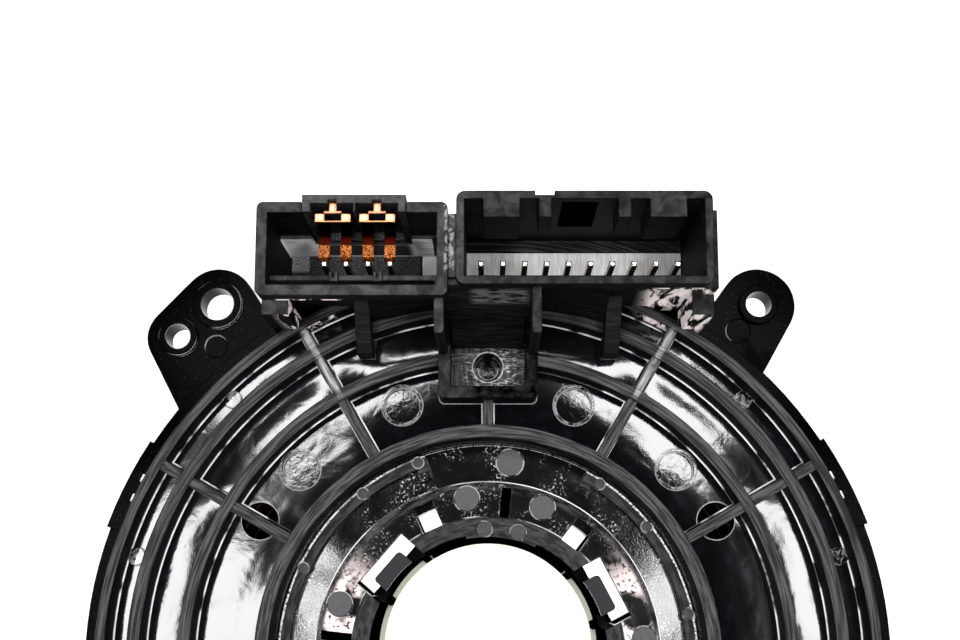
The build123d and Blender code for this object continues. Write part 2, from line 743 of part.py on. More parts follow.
def make_hub():
    """The front half of the rotor: boss, disc, tube with snap tongues, and drum."""
    hub = ring(boss_outer, boss_inner, 0, disc_low)
    hub += ring(disc_radius, bore_radius, disc_low, disc_high)
    hub += ring(drum_outer, drum_inner, disc_high, sleeve_low)
    hub += ring(tube_outer, bore_radius, disc_high, ledge_low)
    pad_inner = collar_bore + pad_fit
    pad_start = 90 - pad_half_angle
    pad_high = disc_low + pad_height
    hub += arc_block(bore_radius + 0.3, pad_inner, pad_start, 180 - pad_start, disc_low, pad_high)

    tongue_top = ledge_top + tongue_rise
    disc_window = tube_outer + 0.15
    for angle in tongue_angles:
        hub -= Rot(0, 0, angle) * block(
            -window_half, window_half, bore_radius - 1, tube_outer + 0.1, tongue_root, tongue_top
        )
        tongue = block(
            -tongue_half, tongue_half, bore_radius - 1, tube_outer - 0.1, tongue_root - 0.2, tongue_top
        )
        tongue += block(
            -tongue_half, tongue_half, tube_outer - 0.5, tube_outer + tongue_reach,
            tongue_top - tongue_hook_height, tongue_top,
        )
        tongue = fillet(tongue.edges().filter_by(Axis.Z).group_by(Axis.Y)[-1], tongue_reach)
        tongue -= post(0, 0, bore_radius, 0, mouth)
        guides = block(
            -window_half, window_half, collar_bore - 2, bore_radius + 0.3, disc_low, tongue_root
        )
        guides -= block(
            -window_half + guide_width, window_half - guide_width, 0, mouth, 0, mouth
        )
        guides -= post(0, 0, pad_inner, 0, mouth)
        hub += Rot(0, 0, angle) * (tongue + guides)
    for angle in tongue_angles:
        hub -= Rot(0, 0, angle) * front_window(window_half, disc_window, window_outer)
    for angle in peep_angles:
        hub -= Rot(0, 0, angle) * front_window(peep_half, ledge_outer + 0.6, peep_middle)
    hub -= front_lead_room()
    hub -= inlet_room()
    return hub


def front_window(half, inner, outer):
    """A see-through opening in the disc and the boss, flared for draft."""
    disc_flare = 1 + window_flare * (ledge_top - disc_low)
    boss_flare = 1 + window_flare * ledge_top
    in_disc = block(
        -half * disc_flare, half * disc_flare, inner, outer + disc_window_lean, disc_low, disc_high
    )
    in_boss = block(
        -half * boss_flare, half * boss_flare, inner + 0.25, outer + boss_window_lean, 0, disc_low
    )
    return in_disc + in_boss


def front_lead_room():
    across = [front_lead[0] - block_fit, front_lead[1] + block_fit]
    along = [front_lead_y[0] - block_fit, front_lead_y[1] + block_fit]
    return block(*across, *along, disc_low - 2, disc_high + 1)


def inlet_room():
    half = inlet_half - front_wall
    along = [inlet_y[0] + front_wall, inlet_y[1] - front_wall]
    return block(-half, half, *along, inlet_low - 1, disc_high + 1)


def make_front_shroud():
    """The socket for the steering wheel's harness, fixed to the front of the disc."""
    shroud = block(*front_outside, *front_outside_y, front_clear, disc_low)
    shroud -= block(*front_inside, *front_inside_y, front_clear - 1, disc_low - 1)
    return shroud - front_lead_room()


def make_inlet_hood():
    """The hood where the airbag's lead goes in; the lead itself isn't drawn."""
    hood = block(-inlet_half, inlet_half, *inlet_y, inlet_low, disc_low)
    return hood - inlet_room()


def make_front_lead():
    lead = block(*front_lead, *front_lead_y, disc_low - 1, disc_high)
    half = pin_size / 2 + pin_slot_fit
    row = [front_row - half, front_row + half]
    for x in front_pins:
        lead -= block(x - half, x + half, *row, disc_low - 2, disc_high + 1)
    return lead


def make_front_pin(x):
    half = pin_size / 2
    low = disc_low - 1 - front_pin_height
    pin = block(x - half, x + half, front_row - half, front_row + half, low, disc_high)
    return chamfer(pin.faces().sort_by(Axis.Z)[0].edges(), pin_tip)


def make_sleeve():
    """The back half of the rotor: flange with arc rails, raised ring and ledge."""
    sleeve = ring(sleeve_flange_outer, drum_inner, sleeve_low, sleeve_flange_top)
    sleeve += ring(raised_outer, drum_inner - skirt_wall, sleeve_low, raised_top)
    skirt_inner = drum_inner - skirt_wall
    sleeve += ring(drum_inner - skirt_fit, skirt_inner, sleeve_low - skirt_length, sleeve_low)
    sleeve += ring(raised_outer, ledge_outer, raised_top - ring_thickness, raised_top)
    sleeve += ring(ledge_outer + 0.5, bore_radius, ledge_low, ledge_top)
    tab_start = 90 - tab_half_angle
    tab_inner = bore_radius - tab_reach
    tab_high = ledge_low + tab_thickness
    sleeve += arc_block(bore_radius + 0.3, tab_inner, tab_start, 180 - tab_start, ledge_low, tab_high)

    rail_outer = sleeve_flange_outer - rail_inset
    rail_inner = rail_outer - rail_width
    rail_top = sleeve_flange_top + rail_height
    for start, end in rail_spans:
        sleeve += arc_block(rail_outer, rail_inner, start, end, sleeve_flange_top, rail_top)
    for angle in rail_ends:
        hook_reach = (rail_inner - rail_hook, rail_outer - 0.1)
        sleeve += spoke(angle, *hook_reach, rail_width, sleeve_flange_top, rail_top)
    for angle in rail_mark_angles:
        x, y = from_top((rail_inner + rail_outer) / 2, angle)
        sleeve += post(x, y, rail_mark_radius, sleeve_flange_top, rail_top)

    for angle in tongue_angles:
        sleeve -= Rot(0, 0, angle) * block(
            -window_half, window_half, bore_radius - 1, window_outer, ledge_low - 1, raised_top + 1
        )
    for angle in peep_angles:
        sleeve -= Rot(0, 0, angle) * block(
            -peep_half, peep_half, ledge_outer - 0.1, peep_outer, ledge_low - 1, raised_top + 1
        )
    for angle in (0, 90, 180, 270):
        slot = block(
            -slot_half, slot_half, ledge_outer, raised_outer - 0.7, raised_top - slot_depth, raised_top + 1
        )
        sleeve -= Rot(0, 0, angle) * slot
    for angle in ring_mark_angles:
        x, y = from_top((ledge_outer + raised_outer) / 2 + 0.2, angle)
        sleeve -= post(x, y, mark_radius, raised_top - mark_depth, raised_top + 1)
    for angle in ledge_mark_angles:
        x, y = from_top((bore_radius + ledge_outer) / 2 - 0.45, angle)
        sleeve -= post(x, y, small_mark_radius, ledge_top - mark_depth, ledge_top + 0.1)
    for angle in (0, 180):
        x, y = from_top((raised_outer + sleeve_flange_outer) / 2 + 0.3, angle)
        sleeve += post(x, y, flange_mark_radius, sleeve_flange_top, sleeve_flange_top + mark_depth)
    return sleeve


# =================================================================== nodes
def turned(shape):
    return Rot(0, 0, rotor_rest_angle) * shape


switch_pins = [switch_first_pin + count * pin_pitch for count in range(switch_pin_count)]
airbag_pins = [airbag_first_pin + count * pin_pitch for count in range(airbag_pin_count)]
front_pins = [(count - (front_pin_count - 1) / 2) * pin_pitch for count in range(front_pin_count)]
pin_pairs = [airbag_pins[:2], airbag_pins[2:]]
clip_centres = [sum(pair) / 2 for pair in pin_pairs]

nodes = {
    "outer_case": make_outer_case(),
    "back_plate": make_back_plate(),
    "stator_lead_block": make_lead_block(),
    "airbag_insert": make_airbag_insert(),
    "clip_carrier": make_clip_carrier(),
    "flat_cable": make_flat_cable(),
    "stator_slip_sheet": make_stator_sheet(),
    "rotor_hub": turned(make_hub()),
    "rotor_sleeve": turned(make_sleeve()),
    "front_shroud": turned(make_front_shroud()),
    "inlet_hood": turned(make_inlet_hood()),
    "rotor_lead_block": turned(make_front_lead()),
    "rotor_slip_sheet": turned(make_rotor_sheet()),
    "bore_collar": make_collar(),
}
for count, pair in enumerate(pin_pairs, start=1):
    nodes[f"shorting_clip_{count}"] = make_shorting_clip(pair)
for count, x in enumerate(switch_pins, start=1):
    nodes[f"switch_pin_{count:02d}"] = make_pin(x)
for count, x in enumerate(airbag_pins, start=1):
    nodes[f"airbag_pin_{count}"] = make_pin(x)
for count, x in enumerate(front_pins, start=1):
    nodes[f"rotor_pin_{count:02d}"] = turned(make_front_pin(x))

os.makedirs("parts", exist_ok=True)
for name, shape in nodes.items():
    export_step(shape, f"parts/{name}.step")
    print(name, len(shape.solids()), "solids", round(shape.volume, 1), "mm3")
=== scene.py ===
# %% [markdown]
# # A steering clock spring
# A clock spring joins the wiring of a turning steering wheel to the fixed column. A rotor turns
# inside a ribbed case, and a flat ribbon winds and unwinds between them. The CAD model brings every
# piece in its place, so this script adds the light, the finishes and the small shapes that a
# moulding tool leaves behind.

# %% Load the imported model
import json
import math
import bmesh
import bpy
from mathutils import Matrix, Vector


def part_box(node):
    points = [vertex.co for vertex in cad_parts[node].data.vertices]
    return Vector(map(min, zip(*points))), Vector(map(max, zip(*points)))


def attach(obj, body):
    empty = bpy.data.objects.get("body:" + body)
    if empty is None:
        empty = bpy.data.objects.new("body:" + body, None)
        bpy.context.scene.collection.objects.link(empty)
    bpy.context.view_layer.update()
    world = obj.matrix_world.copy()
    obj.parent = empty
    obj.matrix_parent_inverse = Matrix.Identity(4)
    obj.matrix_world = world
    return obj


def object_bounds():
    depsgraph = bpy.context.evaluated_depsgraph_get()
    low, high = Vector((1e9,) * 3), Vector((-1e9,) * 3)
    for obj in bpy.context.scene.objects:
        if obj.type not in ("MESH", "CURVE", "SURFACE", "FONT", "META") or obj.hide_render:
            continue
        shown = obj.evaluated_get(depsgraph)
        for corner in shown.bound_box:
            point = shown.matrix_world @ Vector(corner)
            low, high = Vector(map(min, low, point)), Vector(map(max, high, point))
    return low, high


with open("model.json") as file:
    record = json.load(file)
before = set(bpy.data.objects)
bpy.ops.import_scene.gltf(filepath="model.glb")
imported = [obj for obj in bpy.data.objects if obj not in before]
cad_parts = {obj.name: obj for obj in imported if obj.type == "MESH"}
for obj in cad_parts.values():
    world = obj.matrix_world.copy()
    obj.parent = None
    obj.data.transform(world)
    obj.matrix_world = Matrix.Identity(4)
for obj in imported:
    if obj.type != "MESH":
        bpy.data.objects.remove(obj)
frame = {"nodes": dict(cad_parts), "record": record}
cad_low, cad_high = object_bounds()
nodes = frame["nodes"]
MM = 0.001
print(len(nodes), "pieces, box in mm", [round(v / MM, 1) for v in (*cad_low, *cad_high)])

# %% [markdown]
# ## Camera
# A close, nearly overhead camera shows the ribbed back of the case and looks down into both
# sockets. A true overhead camera with its frame shifted up would keep every circle round, but a
# large shift pushes the part out of the other views. So the camera leans a little and shifts a
# little, which keeps the circles nearly round.

# %% Camera
CAMERA_PLACE = Vector((0.06, 8.55, 175.45))  # mm
LEAN = 7.97  # degrees from straight down, towards the sockets
LENS, SENSOR = 44.89, 36  # mm
SHIFT_X, SHIFT_Y = -0.0088, 0.1
NEAREST, FARTHEST = 0.005, 20  # metres

camera = bpy.data.objects.new("camera", bpy.data.cameras.new("camera"))
bpy.context.scene.collection.objects.link(camera)
camera.location = CAMERA_PLACE * MM
camera.rotation_euler = (math.radians(LEAN), 0, 0)
camera.data.lens = LENS
camera.data.sensor_width = SENSOR
camera.data.shift_x, camera.data.shift_y = SHIFT_X, SHIFT_Y
camera.data.clip_start, camera.data.clip_end = NEAREST, FARTHEST
bpy.context.scene.camera = camera
print("camera", round(CAMERA_PLACE.z), "mm up, leaning", LEAN, "degrees")

# %% [markdown]
# ## Floor and light
# Black gloss plastic is seen by what it mirrors. Under an even white sky it would look grey all
# over, so the ceiling is kept dark and holds a few soft boxes. Six of them stand in a high ring
# round the part, and each flat floor between the ribs mirrors the dark ceiling in some places and a
# box in others. Two slim boxes behind the ring are mirrored beside the lock box, and a low box in
# front lights the walls of the sockets. A round light under the bore acts as a light table, so
# that the open windows read as open.

# %% Floor
FLOOR_REACH = 3  # metres each way
FLOOR_GREY = 0.93
FLOOR_GLOW = 0.35  # light of its own, so that it stays pale far from the boxes


def link_mesh(name, bm, material):
    """Makes an object of a bmesh, at the origin, and frees the bmesh."""
    mesh = bpy.data.meshes.new(name)
    bm.to_mesh(mesh)
    bm.free()
    mesh.materials.append(material)
    thing = bpy.data.objects.new(name, mesh)
    bpy.context.scene.collection.objects.link(thing)
    return thing


floor_paint = bpy.data.materials.new("pale_floor")
floor_paint.use_nodes = True
floor_shader = floor_paint.node_tree.nodes["Principled BSDF"]
floor_shader.inputs["Base Color"].default_value = (FLOOR_GREY, FLOOR_GREY, FLOOR_GREY, 1)
floor_shader.inputs["Roughness"].default_value = 0.9
floor_shader.inputs["Emission Color"].default_value = (1, 1, 1, 1)
floor_shader.inputs["Emission Strength"].default_value = FLOOR_GLOW

floor_bm = bmesh.new()
bmesh.ops.create_grid(floor_bm, x_segments=1, y_segments=1, size=FLOOR_REACH)
bmesh.ops.translate(floor_bm, vec=(0, 0, cad_low.z), verts=floor_bm.verts)
floor = link_mesh("floor", floor_bm, floor_paint)
print("floor at z", round(cad_low.z / MM, 2), "mm")


# %% Soft boxes
def soft_box(name, place, aim, size, radiance, shape="RECTANGLE"):
    """An area light of an even radiance. Places and sizes are in millimetres."""
    light = bpy.data.lights.new(name, "AREA")
    light.shape = shape
    light.size, light.size_y = size[0] * MM, size[1] * MM
    area = light.size * light.size_y * (math.pi / 4 if shape == "DISK" else 1)
    light.energy = radiance * math.pi * area
    lamp = bpy.data.objects.new(name, light)
    bpy.context.scene.collection.objects.link(lamp)
    lamp.location = Vector(place) * MM
    lamp.rotation_euler = (Vector(aim) - Vector(place)).to_track_quat("-Z", "Y").to_euler()
    print(name, "radiance", radiance)
    return lamp


RING_RADIUS, RING_HEIGHT, RING_MIDDLE_Y = 150, 420, 8
RING_BEARINGS = (-128, -88, -42, 42, 88, 128)  # degrees clockwise from +Y
RING_AIM = (0, 10, 30)
RING_RADIANCE, FRONT_RADIANCE, TABLE_RADIANCE = 24, 12, 1.3
TABLE_WIDTH = 43  # wider than the bore and narrower than the case

for bearing in RING_BEARINGS:
    turn = math.radians(bearing)
    place = (RING_RADIUS * math.sin(turn), RING_RADIUS * math.cos(turn) + RING_MIDDLE_Y, RING_HEIGHT)
    soft_box(f"box_{bearing % 360}", place, RING_AIM, (85, 66), RING_RADIANCE)
soft_box("box_front", (0, -260, 230), (0, 45, 35), (160, 50), FRONT_RADIANCE)
for side in (-1, 1):
    soft_box(f"box_slim_{side}", (43 * side, 168, RING_HEIGHT), RING_AIM, (60, 34), RING_RADIANCE)
light_table = soft_box(
    "light_table", (0, 0, 0.3), (0, 0, 100), (TABLE_WIDTH, TABLE_WIDTH), TABLE_RADIANCE, "DISK"
)
light_table.visible_camera = True

# %% Dark ceiling
CEILING = 0.05  # strength of the light between the boxes

world = bpy.data.worlds.new("studio")
world.use_nodes = True
world.node_tree.nodes["Background"].inputs["Color"].default_value = (1, 1, 1, 1)
world.node_tree.nodes["Background"].inputs["Strength"].default_value = CEILING
bpy.context.scene.world = world
bpy.context.scene.view_settings.view_transform = "Standard"
print("ceiling", CEILING)

# %% [markdown]
# ## Shader maths
# A finish varies over a surface by rules: how far a point is from the axis, how high it lies, which
# way it faces, and a little noise. Written as bare nodes such rules are hard to read, so a small
# class wraps a socket and lets plain expressions build the Math nodes. A second class holds one
# material, and all its nodes come from one method.

# %% One socket
class Wire:
    """One output socket, with arithmetic that adds Math nodes."""

    def __init__(self, finish, socket):
        self.finish = finish
        self.socket = socket

    def _maths(self, operation, *values):
        sockets = dict(enumerate(values))
        return self.finish.add("ShaderNodeMath", {"operation": operation}, sockets)

    def __add__(self, other):
        return self._maths("ADD", self, other)

    def __sub__(self, other):
        return self._maths("SUBTRACT", self, other)

    def __mul__(self, other):
        return self._maths("MULTIPLY", self, other)

    def __truediv__(self, other):
        return self._maths("DIVIDE", self, other)

    def __radd__(self, other):
        return self._maths("ADD", other, self)

    def __rsub__(self, other):
        return self._maths("SUBTRACT", other, self)

    def __rmul__(self, other):
        return self._maths("MULTIPLY", other, self)

    def __rtruediv__(self, other):
        return self._maths("DIVIDE", other, self)

    def __pow__(self, other):
        return self._maths("POWER", self, other)

    def below(self, edge, blur):
        """1 where the value is under an edge, 0 above it, with a soft step."""
        return self.finish.add(
            "ShaderNodeMapRange",
            {"interpolation_type": "SMOOTHSTEP"},
            {"Value": self, "From Min": edge - blur, "From Max": edge + blur, "To Min": 1.0, "To Max": 0.0},
        )

    def above(self, edge, blur):
        """1 where the value is over an edge, and 0 under it."""
        return 1 - self.below(edge, blur)

    def between(self, low, high, blur):
        """1 from one edge to another, and 0 outside them."""
        return self.above(low, blur) * self.below(high, blur)


print("a wire can be added, scaled, divided, raised to a power and compared")

# %% One material
BEVEL_SAMPLES = 4
EDGE_ROUND = 0.22  # mm, the rounding that the light sees on every edge
EDGE_WIDTH = 0.2  # mm, how far an edge's wear or shade reaches


def colour(value):
    """Three numbers get their alpha, and a wire stays a wire."""
    return value if isinstance(value, Wire) else (*value, 1)


class Finish:
    """A material with one Principled shader, wired a node at a time. Places are in millimetres."""

    def __init__(self, name, **constants):
        self.material = bpy.data.materials.new(name)
        self.material.use_nodes = True
        self.tree = self.material.node_tree
        self.shader = self.tree.nodes["Principled BSDF"]
        for socket, value in constants.items():
            self.shader.inputs[socket.replace("_", " ")].default_value = value
        place = self.add("ShaderNodeTexCoord", {}, {}, "Object")
        facing = self.add("ShaderNodeTexCoord", {}, {}, "Normal")
        self.place = self.add("ShaderNodeVectorMath", {"operation": "SCALE"}, {0: place, "Scale": 1 / MM})
        self.x, self.y, self.z = (self.split(self.place, axis) for axis in "XYZ")
        self.radius = (self.x * self.x + self.y * self.y) ** 0.5
        turn = self.add("ShaderNodeMath", {"operation": "ARCTAN2"}, {0: self.x, 1: self.y})
        self.bearing = turn * (180 / math.pi)  # degrees clockwise from +Y
        self.facing_front = self.split(facing, "Y") * -1
        self.facing_right = self.split(facing, "X")
        self.facing_up = self.split(facing, "Z")

    def add(self, kind, settings, sockets, output=0):
        """Adds one node: its settings first, then the values or links of its sockets."""
        node = self.tree.nodes.new(kind)
        for setting, value in settings.items():
            setattr(node, setting, value)
        for socket, value in sockets.items():
            if isinstance(value, Wire):
                self.tree.links.new(value.socket, node.inputs[socket])
            else:
                node.inputs[socket].default_value = value
        return Wire(self, node.outputs[output])

    def split(self, vector, axis):
        return self.add("ShaderNodeSeparateXYZ", {}, {0: vector}, axis)

    def combine(self, x, y, z):
        return self.add("ShaderNodeCombineXYZ", {}, {0: x, 1: y, 2: z})

    def around(self, stretch):
        """A place whose noise runs in streaks round the axis."""
        return self.combine(self.x / self.radius * stretch, self.y / self.radius * stretch, self.radius)

    def noise(self, scale, detail=2.0, where=None, distortion=0.0, roughness=0.5):
        """Noise of so many features to a millimetre."""
        sockets = {
            "Vector": where or self.place, "Scale": scale, "Detail": detail,
            "Distortion": distortion, "Roughness": roughness,
        }
        return self.add("ShaderNodeTexNoise", {}, sockets)

    def mix(self, factor, first, second):
        """One colour where the factor is 0 and another where it is 1."""
        sockets = {0: factor, 6: colour(first), 7: colour(second)}
        return self.add("ShaderNodeMix", {"data_type": "RGBA"}, sockets, 2)

    def inside(self, **spans):
        """1 inside a box. Each span is a low end, a high end and a blur, along x, y or z."""
        mask = None
        for axis, span in spans.items():
            within = getattr(self, axis).between(*span)
            mask = mask * within if mask else within
        return mask

    def spot(self, x, y, size, blur=0.05):
        """1 inside a circle seen from above."""
        across, along = self.x - x, self.y - y
        return ((across * across + along * along) ** 0.5).below(size, blur)

    def edges(self, width=EDGE_WIDTH, flatness=0.95):
        """1 along the edges and 0 on the flats."""
        rounded = self.add("ShaderNodeBevel", {"samples": BEVEL_SAMPLES}, {"Radius": width * MM})
        flat = self.add("ShaderNodeNewGeometry", {}, {}, "True Normal")
        sockets = {0: rounded, 1: flat}
        agree = self.add("ShaderNodeVectorMath", {"operation": "DOT_PRODUCT"}, sockets, "Value")
        return agree.below(flatness, 0.8 * (1 - flatness))

    def bump(self, height):
        """A normal from a height in millimetres, with the edges rounded a little."""
        rounded = self.add("ShaderNodeBevel", {"samples": BEVEL_SAMPLES}, {"Radius": EDGE_ROUND * MM})
        sockets = {"Strength": 1.0, "Distance": MM, "Height": height, "Normal": rounded}
        return self.add("ShaderNodeBump", {}, sockets)

    def wear(self, shade=None, **sockets):
        """Links wires to the shader's sockets. Where the shade is 1 the surface is wholly black."""
        for socket, value in sockets.items():
            self.tree.links.new(value.socket, self.shader.inputs[socket.replace("_", " ")])
        if shade:
            dark = self.add("ShaderNodeBsdfDiffuse", {}, {"Color": (0, 0, 0, 1)})
            lit = Wire(self, self.shader.outputs[0])
            mixed = self.add("ShaderNodeMixShader", {}, {0: shade, 1: lit, 2: dark})
            self.tree.links.new(mixed.socket, self.tree.nodes["Material Output"].inputs["Surface"])
        print("finish", self.material.name, len(self.tree.nodes), "nodes")
        return self.material


print("edges are rounded by", EDGE_ROUND, "mm")

# %% [markdown]
# ## The ribbed back plate
# The plate is black glass-filled plastic from a polished tool. Its floors are mirror-bright and sink
# a little between the ribs as they cool, so each cell mirrors the soft boxes in its own way. The
# rib tops come from a spark-eroded part of the tool, and are matt and dark grey.
#
# The sinking could be modelled, but it is a fraction of a millimetre deep, and a mesh fine enough to
# mirror cleanly would be huge. A height that feeds a Bump node bends the reflections as well. Its
# slope across each floor is set sector by sector, because a slope chooses what the floor mirrors.

# %% Height of the floors
FLOOR_TOP = 27.6  # all heights are above the rest plane
CELLS = ((27.7, 35.5), (36.9, 41.5), (43.0, 45.6))  # inner and outer radius of each floor
HUB_RING, RIM = CELLS[0][0], CELLS[-1][1]  # outer radius of the hub ring, inner radius of the rim
SWELL = (0.0, 0.07, 0.0)  # a, b and c of the slope where no profile is set
PROFILES = (  # cell, bearings from and to, and the slope outwards as a, b and c
    (0, -100, -58, (0.035, 0.01, 0.0)),
    (0, -56, -32, (0.02, 0.03, 0.0)),
    (0, 62, 100, (-0.05, 0.02, 0.0)),
    (1, -60, -31, (0.09, 0.0, -0.12)),
    (1, -24, -6, (0.09, 0.0, -0.12)),
    (1, 6, 24, (0.09, 0.0, -0.12)),
    (1, 31, 60, (0.08, 0.0, -0.10)),
    (2, -58, -38, (-0.01, 0.02, 0.0)),
    (2, -36, -8, (0.08, 0.0, 0.0)),
    (2, 33, 100, (0.08, 0.0, 0.0)),
)
SECTOR_BLUR, RIB_BLUR = 4, 0.05  # degrees and mm


def integral(across, slopes):
    """The height that has the slope a + b * across + c * across * across."""
    a, b, c = slopes
    return across * a + across * across * (b / 2) + across * across * across * (c / 3)


def floor_height(f):
    """The floors swell between the ribs and sink where the wall behind is thick.

    Across a floor goes from -1 at its inner rib to 1 at its outer one.
    """
    swell = 0.0
    for cell, (inner, outer) in enumerate(CELLS):
        half = (outer - inner) / 2
        across = (f.radius - (inner + outer) / 2) / half
        rise = integral(across, SWELL)
        for profile_cell, start, end, slopes in PROFILES:
            if profile_cell == cell:
                sector = f.bearing.between(start, end, SECTOR_BLUR)
                rise = rise * (1 - sector) + integral(across, slopes) * sector
        swell = swell - rise * half * f.radius.between(inner, outer, RIB_BLUR)
    sink = 0.35 * f.noise(0.065, 1.0, distortion=0.4) + 0.03 * f.noise(0.3, 2, distortion=0.6)
    waves = 0.035 * f.noise(0.42, 1, f.around(7))
    dimple = f.z.below(FLOOR_TOP - 0.3, 0.1) * 0.014 * f.noise(1.6, 3, distortion=1.0)
    return swell + sink + waves + dimple + 0.0026 * f.noise(5.0, 1)


print(len(CELLS), "floors, with slopes set in", len(PROFILES), "sectors")

# %% Streaks and painted highlights of the ribs
GLEAMING_SPOKES = (-30, 30)  # bearings of the two spokes beside the sockets
DIMPLE_LOW = 26.85  # no dimple sinks deeper than this
LOCK_HOLE = (0.0, 35.05, 1.8)  # x, y and radius of the hole in the lock box
LOCK_FLOOR = {"z": (29.4, 29.8, 0.05), "y": (32.0, 38.2, 0.1), "x": (-4.8, 4.8, 0.1)}


def rib_streaks(f):
    """Fine streaks that run round the rings and along the spokes."""
    on_ring = f.radius.below(HUB_RING, RIB_BLUR) + f.radius.above(RIM, RIB_BLUR)
    for (_, ring_inner), (ring_outer, _) in zip(CELLS, CELLS[1:]):
        on_ring = on_ring + f.radius.between(ring_inner, ring_outer, RIB_BLUR)
    round_axis = f.noise(4.6, 3, f.around(1.6))
    sideways = f.combine(f.x / f.radius * 25, f.y / f.radius * 25, f.radius * 0.06)
    along_spoke = f.noise(4.6, 3, sideways)
    return on_ring * round_axis + (1 - on_ring) * along_spoke


def spoke_gleam(f):
    """The two spokes beside the sockets shine along their middles."""
    left, right = (f.bearing.between(bearing - 0.5, bearing + 0.5, 0.25) for bearing in GLEAMING_SPOKES)
    return (left + right) * f.radius.between(36.0, RIM, 0.5) * f.noise(0.5, 3).above(0.42, 0.12)


def dimple_rim_highlights(f, edge):
    """A painted highlight line round each shallow dimple of the inner floors."""
    in_dimple = f.z.between(DIMPLE_LOW, FLOOR_TOP + 0.1, 0.05)
    return edge * in_dimple * f.radius.between(29.0, 35.2, 0.2)


def lock_floor_glints(f):
    """The floor of the lock box gets painted glints in streaks near its hole, and a painted highlight round
    the hole's rim.
    """
    where = f.combine(f.x * 0.7, f.y * 2.6, 0.0)
    streaks = f.noise(1.6, 5, where, distortion=0.6).above(0.56, 0.06)
    x, y, size = LOCK_HOLE
    hole_rim_highlight = f.spot(x, y, size + 0.16) - f.spot(x, y, size)
    near_hole = f.spot(x + 0.8, y - 0.4, 3.4, 1.8)
    return f.inside(**LOCK_FLOOR) * (streaks * near_hole * (1 - hole_rim_highlight) * 0.8 + hole_rim_highlight)


print("lock box hole at", LOCK_HOLE[:2], "mm")

# %% Painted highlights and shade of the sockets
SKIRT_HEIGHT = {"z": (28.4, 44.2, 0.2)}
LEFT_CREASE_HIGHLIGHTS = {"x": (-24.8, -16.4, 0.7), "y": (39.4, 41.5, 0.1)}
RIGHT_CREASE_HIGHLIGHTS = {"x": (18.5, 27.0, 1.2), "y": (39.4, 42.8, 0.1)}
AIRBAG_STEP = {"y": (49.0, 49.5, 0.05), "z": (29.2, 37.1, 0.15)}
SLANTED_PANEL = {"z": (41.6, 43.9, 0.3), "x": (-1.8, 4.6, 0.5), "y": (40.0, 42.0, 0.1)}
LATCH_WALL = 51.34  # what shows through the latch window lies behind this
LEAN_BACK = 0.6  # slope of the surfaces that are leaned


def skirts(f):
    """The parts of the sockets' skirts that get painted crease highlights."""
    upright = f.inside(**SKIRT_HEIGHT) * f.facing_up.below(0.5, 0.1) * f.facing_front.above(-0.5, 0.1)
    outer_side = (f.facing_right * f.x).above(5.0, 1.0)
    return upright * (f.inside(**LEFT_CREASE_HIGHLIGHTS) + f.inside(**RIGHT_CREASE_HIGHLIGHTS)) * (1 - outer_side)


def painted_crease_highlights(f):
    """Painted highlights in creases across the skirts."""
    where = f.combine(f.x, f.y, f.z * 0.25)
    return skirts(f) * f.noise(0.7, 6, where, distortion=0.5, roughness=0.62).above(0.48, 0.03)


def airbag_step(f):
    """The thick foot of the airbag socket's back wall."""
    return f.inside(**AIRBAG_STEP) * f.x.below(-6.6, 0.1)


def step_shine(f):
    """That foot gets painted highlights in streaks broken by dark lines, much dimmer between the clips, and a
    painted highlight line along its bottom.
    """
    beside_clips = 1 - f.x.between(-20.4, -9.4, 0.5)
    lines = f.noise(1.0, 3, f.combine(f.x * 0.2, 0.0, f.z * 3.5)).above(0.33, 0.12)
    foot = f.z.below(29.7, 0.1)
    return airbag_step(f) * ((0.08 + 0.92 * beside_clips) * lines * (1 - foot) + foot)


def leaned(f):
    """A height that leans the step and the skirts back, so that they face the high boxes more."""
    return ((33.2 - f.z) * airbag_step(f) + (37.0 - f.z) * skirts(f)) * LEAN_BACK


def panel_shine(f):
    """A streaky highlight across the slanted panel over the lock box."""
    streaks = f.noise(1.0, 4, f.combine(f.x * 0.5, 0.0, f.z * 3.0)).above(0.48, 0.07)
    return f.inside(**SLANTED_PANEL) * streaks * f.facing_front.above(0.8, 0.1)


def latch_window_shade(f):
    """1 on what shows through the window that the mating plug's latch snaps into, which is painted black as
    shade.
    """
    return f.y.above(LATCH_WALL, 0.03) * f.x.between(8.3, 12.7, 0.05) * f.z.between(35.0, 44.8, 0.05)


print("creases from x", LEFT_CREASE_HIGHLIGHTS["x"][:2], "and", RIGHT_CREASE_HIGHLIGHTS["x"][:2], "mm")

# %% Colours of the plate
INK = (0.0004, 0.0004, 0.0006)
WHITE = (1.0, 1.0, 1.0)


def plate_colours(f, on_top, on_floor, on_socket, streaks, cloud):
    """Dark streaked ribs, clouded mouths, walls with tool marks and nearly black floors."""
    rib_grey = f.mix(streaks.above(0.52, 0.16), (0.004, 0.004, 0.0045), (0.040, 0.039, 0.040))
    mouth_grey = f.mix(cloud, (0.003, 0.003, 0.0035), (0.060, 0.060, 0.060))
    top_grey = f.mix(on_socket, rib_grey, mouth_grey)
    tool_marks = f.noise(1.0, 3, f.combine(f.x * 0.35, f.y * 0.35, f.z * 4.5)).above(0.55, 0.1)
    wall_black = f.mix(tool_marks * on_socket, INK, (0.026, 0.025, 0.027))
    floor_black = f.mix(f.noise(0.5, 4).above(0.6, 0.06), (0.0004, 0.0004, 0.0012), (0.003, 0.003, 0.005))
    return f.mix(on_top, f.mix(on_floor, wall_black, floor_black), top_grey)


print("darkest black", INK)

# %% Back plate finish
UPWARDS = (0.9, 0.05)  # how far a face looks up, and the blur, for a top
SOCKET_FOOT = 31.9  # what stands higher than this belongs to the sockets and the lock box


